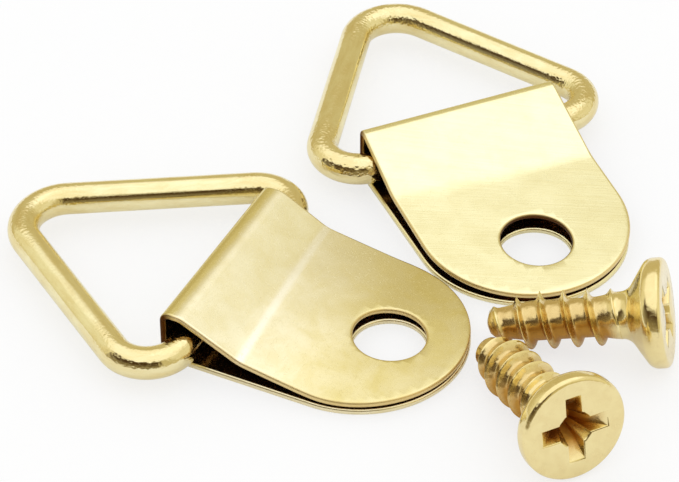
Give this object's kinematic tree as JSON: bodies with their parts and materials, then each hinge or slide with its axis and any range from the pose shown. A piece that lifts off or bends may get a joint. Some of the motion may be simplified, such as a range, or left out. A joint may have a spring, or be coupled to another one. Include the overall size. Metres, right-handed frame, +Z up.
{
  "type": "picture hanger",
  "caption": "Folded brass strap hangers with hinged triangular wire rings, lying with their countersunk wood screws, for hanging picture frames.",
  "frame": {"origin": "on the surface that the set lies on, under the middle of its outline", "axes": "+Z up from that surface; +Y away from the picture's camera, along the longer side of the layout; +X to the camera's right"},
  "size_m": [0.0408, 0.045, 0.0066],
  "materials": {
    "strap_brass": "pale brass plate, finely brushed across the strap",
    "ring_brass": "brass-plated wire, satin with a fine drawn and bent texture",
    "screw_brass": "bright yellow brass plate"
  },
  "bodies": {
    "left_strap": {"left_strap": "strap_brass"},
    "left_ring": {"left_ring": "ring_brass"},
    "right_strap": {"right_strap": "strap_brass"},
    "right_ring": {"right_ring": "ring_brass"},
    "front_screw": {"front_screw": "screw_brass"},
    "rear_screw": {"rear_screw": "screw_brass"}
  },
  "joints": [
    {"name": "left_ring_hinge", "type": "hinge", "parent": "left_strap", "child": "left_ring", "pos_m": [-0.00606, -0.00625, 0.00167], "axis": [0.4594, 0.8882, 0], "range_deg": [0, 165]},
    {"name": "right_hanger_lift", "type": "slide", "parent": "left_strap", "child": "right_strap", "axis": [0, 0, 1], "range_m": [0, 0.012]},
    {"name": "right_ring_hinge", "type": "hinge", "parent": "right_strap", "child": "right_ring", "pos_m": [0.00848, 0.00767, 0.00167], "axis": [0.9278, 0.373, 0], "range_deg": [0, 165]},
    {"name": "front_screw_lift", "type": "slide", "parent": "left_strap", "child": "front_screw", "axis": [0, 0, 1], "range_m": [0, 0.012]},
    {"name": "rear_screw_lift", "type": "slide", "parent": "left_strap", "child": "rear_screw", "axis": [0, 0, 1], "range_m": [0, 0.012]}
  ]
}
